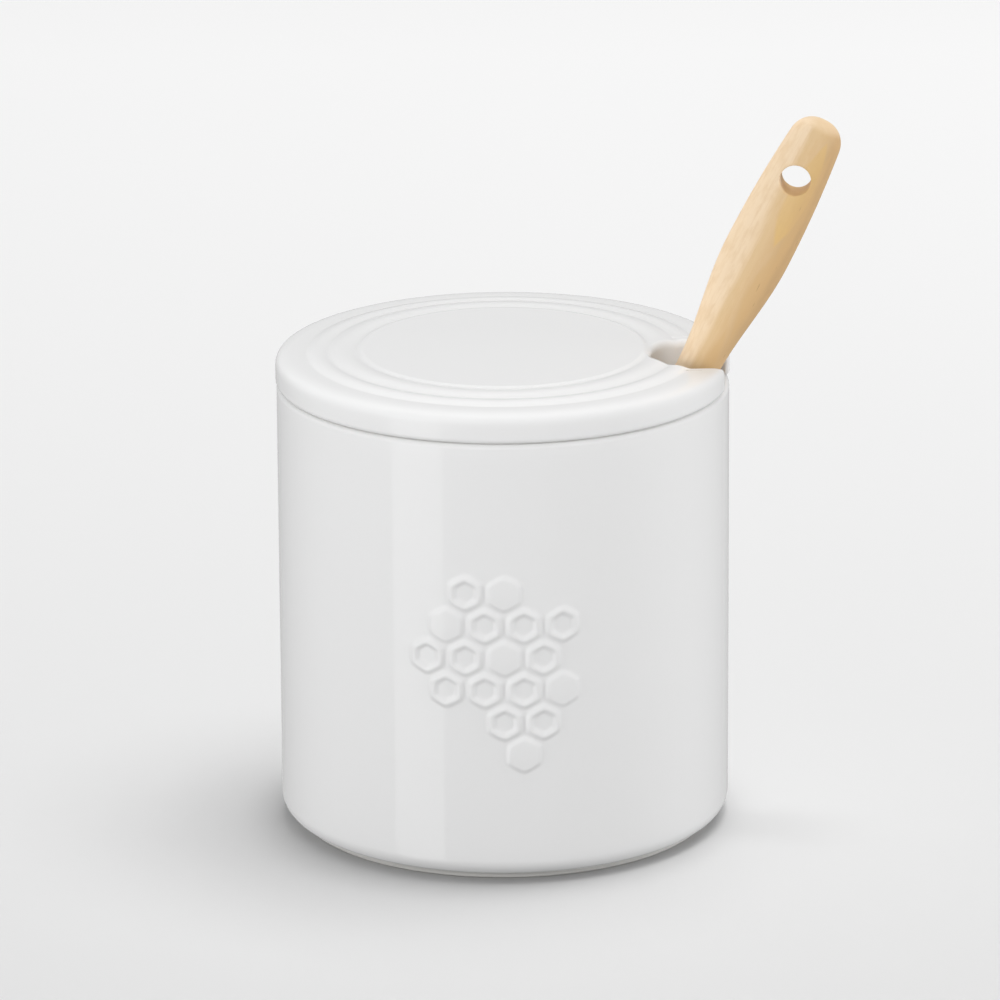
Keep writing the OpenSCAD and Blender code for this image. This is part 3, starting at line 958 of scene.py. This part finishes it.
def build_sky():
    """Even light from all round, a plain pale backdrop for the camera, and a studio for reflections."""
    world = bpy.data.worlds.new("studio")
    bpy.context.scene.world = world
    world.use_nodes = True
    tree = world.node_tree
    tree.nodes.clear()
    rays = add(tree, "ShaderNodeLightPath").outputs
    seen = maths(tree, "MAXIMUM", rays["Is Camera Ray"], rays["Is Transmission Ray"])
    direction = add(tree, "ShaderNodeTexCoord").outputs["Generated"]
    behind = band(tree, add(tree, "ShaderNodeSeparateXYZ", {0: direction}).outputs[1], 0.2, 0.8)
    studio = add(tree, "ShaderNodeMix", {0: behind, 2: STUDIO_FRONT, 3: STUDIO_BACK}, data_type="FLOAT")
    light = add(tree, "ShaderNodeBackground", {"Color": (1, 1, 1, 1), "Strength": SKY_LIGHT})
    mirrored = add(tree, "ShaderNodeBackground", {"Color": (1, 1, 1, 1), "Strength": studio.outputs[0]})
    backdrop = add(tree, "ShaderNodeBackground", {"Color": (BACKDROP,) * 3 + (1,), "Strength": 1})
    both = add(tree, "ShaderNodeMixShader", {0: rays["Is Glossy Ray"], 1: light.outputs[0],
                                             2: mirrored.outputs[0]})
    all_three = add(tree, "ShaderNodeMixShader", {0: seen, 1: both.outputs[0], 2: backdrop.outputs[0]})
    end = add(tree, "ShaderNodeOutputWorld")
    tree.links.new(all_three.outputs[0], end.inputs["Surface"])


def build_lamp(name, azimuth, elevation, distance, width, height, watts):
    """An area lamp that the camera and reflections don't see."""
    lamp = bpy.data.lights.new(name, "AREA")
    lamp.shape = "RECTANGLE"
    lamp.size = width
    lamp.size_y = height
    lamp.energy = watts
    holder = bpy.data.objects.new(name, lamp)
    bpy.context.scene.collection.objects.link(holder)
    out = bearing(azimuth, elevation)
    holder.location = LAMP_AIM + out * distance
    holder.rotation_mode = "QUATERNION"
    holder.rotation_quaternion = out.to_track_quat("Z", "Y")
    holder.visible_camera = False
    holder.visible_glossy = False
    return holder


def build_lamps(name, lamps, lit):
    """Builds lamps that light only the objects given."""
    receivers = bpy.data.collections.new(name)
    for thing in lit:
        receivers.objects.link(thing)
    for lamp, place in lamps.items():
        build_lamp(lamp, *place).light_linking.receiver_collection = receivers


CAMERA_AIM = Vector((-0.79, 3.62, 71.3)) * MM
CAMERA_PIVOT = Vector((0, 0, 60)) * MM
CAMERA_RISE = 17.78
CAMERA_DISTANCE = 1.6666
CAMERA_ROLL = math.radians(-0.336)
SENSOR_WIDTH = 36
FOCAL_LENGTH = 269.72


def build_camera():
    lens = bpy.data.cameras.new("camera")
    lens.sensor_width = SENSOR_WIDTH
    lens.lens = FOCAL_LENGTH
    lens.clip_end = 50
    camera = bpy.data.objects.new("camera", lens)
    bpy.context.scene.collection.objects.link(camera)
    camera.location = CAMERA_PIVOT + CAMERA_DISTANCE * bearing(0, CAMERA_RISE)
    camera.rotation_mode = "QUATERNION"
    facing = (CAMERA_AIM - camera.location).to_track_quat("-Z", "Y")
    camera.rotation_quaternion = facing @ Quaternion((0, 0, 1), CAMERA_ROLL)
    bpy.context.scene.camera = camera


build_camera()
floor = build_floor()
build_card()
build_sky()
bpy.context.scene.view_settings.view_transform = "Standard"

glaze = glaze_group()
pot = build_pot(glaze_material("pot_glaze_white", glaze, bare_foot))
lid = build_lid(glaze_material("lid_glaze_white", glaze, bare_seat))
handle = build_handle(wood_material())
head = build_head(moulded_material("head_silicone_white", linear(226, 226, 222), 0.4, 2500))
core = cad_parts["dipper_core"]
core.data.materials.clear()
core.data.materials.append(moulded_material("core_plastic_grey", linear(150, 153, 156), 0.45, 1800))
build_lamps("lit_floor", FLOOR_LAMPS, [floor])
build_lamps("lit_object", OBJECT_LAMPS, [pot, lid, handle, head, core])
